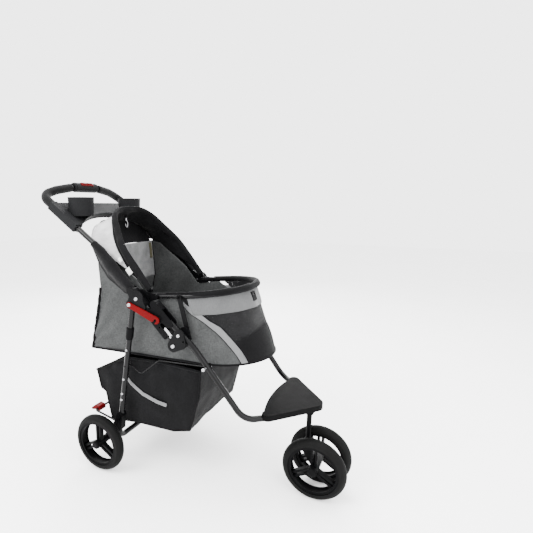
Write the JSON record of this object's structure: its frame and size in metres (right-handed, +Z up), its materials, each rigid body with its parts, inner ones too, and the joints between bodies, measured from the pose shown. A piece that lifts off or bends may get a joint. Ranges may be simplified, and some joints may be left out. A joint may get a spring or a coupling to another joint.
{
  "type": "folding pet stroller",
  "caption": "Folding jogger-style pet stroller with a soft cabin under an arched canopy, a basket, a cup tray, rear wheels and a twin-wheel front caster.",
  "frame": {"origin": "on the ground under the middle of the standing stroller", "axes": "+X forward towards the twin front wheels, +Y to the stroller's left, +Z up"},
  "size_m": [1.0659, 0.558, 0.9961],
  "materials": {
    "tube_paint": "gloss black powder coat",
    "steel_plate": "satin black",
    "bright_steel": "bright zinc",
    "rim_plastic": "moulded black",
    "tyre_rubber": "solid foam tyre",
    "grip_foam": "foam",
    "grey_plastic": "moulded dark grey",
    "black_plastic": "moulded black",
    "red_plastic": "moulded red",
    "cabin_cloth": "heathered grey polyester",
    "mesh_cloth": "charcoal mesh",
    "band_cloth": "light grey",
    "black_cloth": "black polyester",
    "board": "covered hardboard"
  },
  "bodies": {
    "rear_frame": {"rear_frame_tube": "tube_paint", "rear_wheel_bracket_right": "black_plastic", "rear_wheel_bracket_left": "black_plastic", "rear_axles": "bright_steel", "leg_collars": "black_plastic", "leg_fasteners": "bright_steel"},
    "rear_wheel_right": {"rear_tyre_right": "tyre_rubber", "rear_rim_right": "rim_plastic", "rear_hub_caps_right": "rim_plastic"},
    "rear_wheel_left": {"rear_tyre_left": "tyre_rubber", "rear_rim_left": "rim_plastic", "rear_hub_caps_left": "rim_plastic"},
    "brake": {"brake_bar": "tube_paint", "brake_pedals": "red_plastic"},
    "handle_frame": {"handle_tube": "tube_paint", "grip_right": "grip_foam", "grip_left": "grip_foam", "release_housing_upper": "grey_plastic", "release_housing_lower": "grey_plastic", "cup_tray": "grey_plastic", "tray_screws": "black_plastic", "pivot_plates_right": "steel_plate", "pivot_plates_left": "steel_plate", "pivot_bolts": "bright_steel", "latch_cover_right": "black_plastic", "latch_cover_left": "black_plastic"},
    "release_button": {"release_button": "red_plastic"},
    "latch_slider_right": {"latch_slider_right": "bright_steel"},
    "latch_slider_left": {"latch_slider_left": "bright_steel"},
    "hook_link_right": {"hook_link_right": "red_plastic"},
    "hook_link_left": {"hook_link_left": "red_plastic"},
    "front_frame": {"front_frame_tube": "tube_paint", "fold_brackets_right": "steel_plate", "fold_brackets_left": "steel_plate", "hook_studs": "bright_steel", "foot_plate": "black_plastic", "caster_socket": "black_plastic"},
    "caster": {"caster_fork": "black_plastic", "front_axle": "bright_steel"},
    "front_wheel_right": {"front_tyre_right": "tyre_rubber", "front_rim_right": "rim_plastic", "front_hub_cap_right": "rim_plastic"},
    "front_wheel_left": {"front_tyre_left": "tyre_rubber", "front_rim_left": "rim_plastic", "front_hub_cap_left": "rim_plastic"},
    "cabin_frame": {"cabin_rim_tube": "tube_paint", "rim_knuckles": "black_plastic", "cabin_shell": "cabin_cloth", "front_mesh": "mesh_cloth", "rim_band": "band_cloth", "cabin_buckle": "black_plastic"},
    "floor_board": {"floor_board": "board"},
    "canopy": {"canopy_hoop": "tube_paint", "canopy_rear_wire": "tube_paint", "canopy_fabric": "black_cloth"},
    "strut_right": {"strut_right": "steel_plate"},
    "strut_left": {"strut_left": "steel_plate"},
    "basket": {"basket_wires": "tube_paint", "basket_fabric": "black_cloth"}
  },
  "joints": [
    {"name": "handle_fold", "type": "hinge", "parent": "rear_frame", "child": "handle_frame", "pos_m": [-0.13275, 0, 0.599], "axis": [0, -1, 0], "range_deg": [0, 114], "deforming": ["cabin_shell", "front_mesh", "rim_band", "basket_fabric"]},
    {"name": "front_fold", "type": "hinge", "parent": "handle_frame", "child": "front_frame", "pos_m": [0.02825, 0, 0.487], "axis": [0, -1, 0], "range_deg": [-155, 0]},
    {"name": "cabin_tilt", "type": "hinge", "parent": "handle_frame", "child": "cabin_frame", "pos_m": [-0.10775, 0, 0.62], "axis": [0, -1, 0], "range_deg": [-22.4, 0]},
    {"name": "floor_board_rise", "type": "slide", "parent": "cabin_frame", "child": "floor_board", "axis": [-0.1044, 0, 0.9945], "range_m": [0, 0.185]},
    {"name": "strut_right_swing", "type": "hinge", "parent": "front_frame", "child": "strut_right", "pos_m": [0.06525, 0, 0.507], "axis": [0, -1, 0], "range_deg": [0, 129.3]},
    {"name": "strut_left_swing", "type": "hinge", "parent": "front_frame", "child": "strut_left", "pos_m": [0.06525, 0, 0.507], "axis": [0, -1, 0], "range_deg": [0, 129.3]},
    {"name": "basket_tilt", "type": "hinge", "parent": "rear_frame", "child": "basket", "pos_m": [-0.1686, 0, 0.37991], "axis": [0, -1, 0], "range_deg": [0, 56.5]},
    {"name": "canopy_swing", "type": "hinge", "parent": "cabin_frame", "child": "canopy", "pos_m": [-0.08375, 0, 0.645], "axis": [0, -1, 0], "range_deg": [-108, 0], "deforming": ["canopy_fabric"]},
    {"name": "release_press", "type": "slide", "parent": "handle_frame", "child": "release_button", "axis": [-0.722, 0, -0.6919], "range_m": [0, 0.005], "stiffness_N_per_m": 600},
    {"name": "latch_right_slide", "type": "slide", "parent": "handle_frame", "child": "latch_slider_right", "axis": [-0.715, 0, 0.6992], "range_m": [0, 0.01]},
    {"name": "hook_right_swing", "type": "hinge", "parent": "handle_frame", "child": "hook_link_right", "pos_m": [-0.13275, 0, 0.599], "axis": [0, -1, 0], "range_deg": [-50, 10]},
    {"name": "latch_left_slide", "type": "slide", "parent": "handle_frame", "child": "latch_slider_left", "axis": [-0.715, 0, 0.6992], "range_m": [0, 0.01]},
    {"name": "hook_left_swing", "type": "hinge", "parent": "handle_frame", "child": "hook_link_left", "pos_m": [-0.13275, 0, 0.599], "axis": [0, -1, 0], "range_deg": [-50, 10]},
    {"name": "brake_press", "type": "hinge", "parent": "rear_frame", "child": "brake", "pos_m": [-0.23975, 0, 0.144], "axis": [0, -1, 0], "range_deg": [0, 14]},
    {"name": "rear_wheel_right_spin", "type": "hinge", "parent": "rear_frame", "child": "rear_wheel_right", "pos_m": [-0.25575, -0.251, 0.1], "axis": [0, 1, 0], "continuous": true},
    {"name": "rear_wheel_left_spin", "type": "hinge", "parent": "rear_frame", "child": "rear_wheel_left", "pos_m": [-0.25575, 0.251, 0.1], "axis": [0, 1, 0], "continuous": true},
    {"name": "caster_swivel", "type": "hinge", "parent": "front_frame", "child": "caster", "pos_m": [0.40225, 0, 0.2], "axis": [0, 0, 1], "continuous": true},
    {"name": "front_wheel_right_spin", "type": "hinge", "parent": "caster", "child": "front_wheel_right", "pos_m": [0.43425, -0.044, 0.1], "axis": [0, 1, 0], "continuous": true},
    {"name": "front_wheel_left_spin", "type": "hinge", "parent": "caster", "child": "front_wheel_left", "pos_m": [0.43425, 0.044, 0.1], "axis": [0, 1, 0], "continuous": true}
  ],
  "couplings": [
    {"joint": "front_fold", "follows": "handle_fold", "ratio": -1.3596},
    {"joint": "cabin_tilt", "follows": "handle_fold", "ratio": -0.19649},
    {"joint": "basket_tilt", "follows": "handle_fold", "ratio": 0.49561},
    {"joint": "strut_right_swing", "follows": "handle_fold", "ratio": 1.1342},
    {"joint": "strut_left_swing", "follows": "handle_fold", "ratio": 1.1342},
    {"joint": "floor_board_rise", "follows": "handle_fold", "m_per_rad": 0.09297},
    {"joint": "latch_right_slide", "follows": "release_press", "ratio": 2},
    {"joint": "latch_left_slide", "follows": "release_press", "ratio": 2}
  ]
}
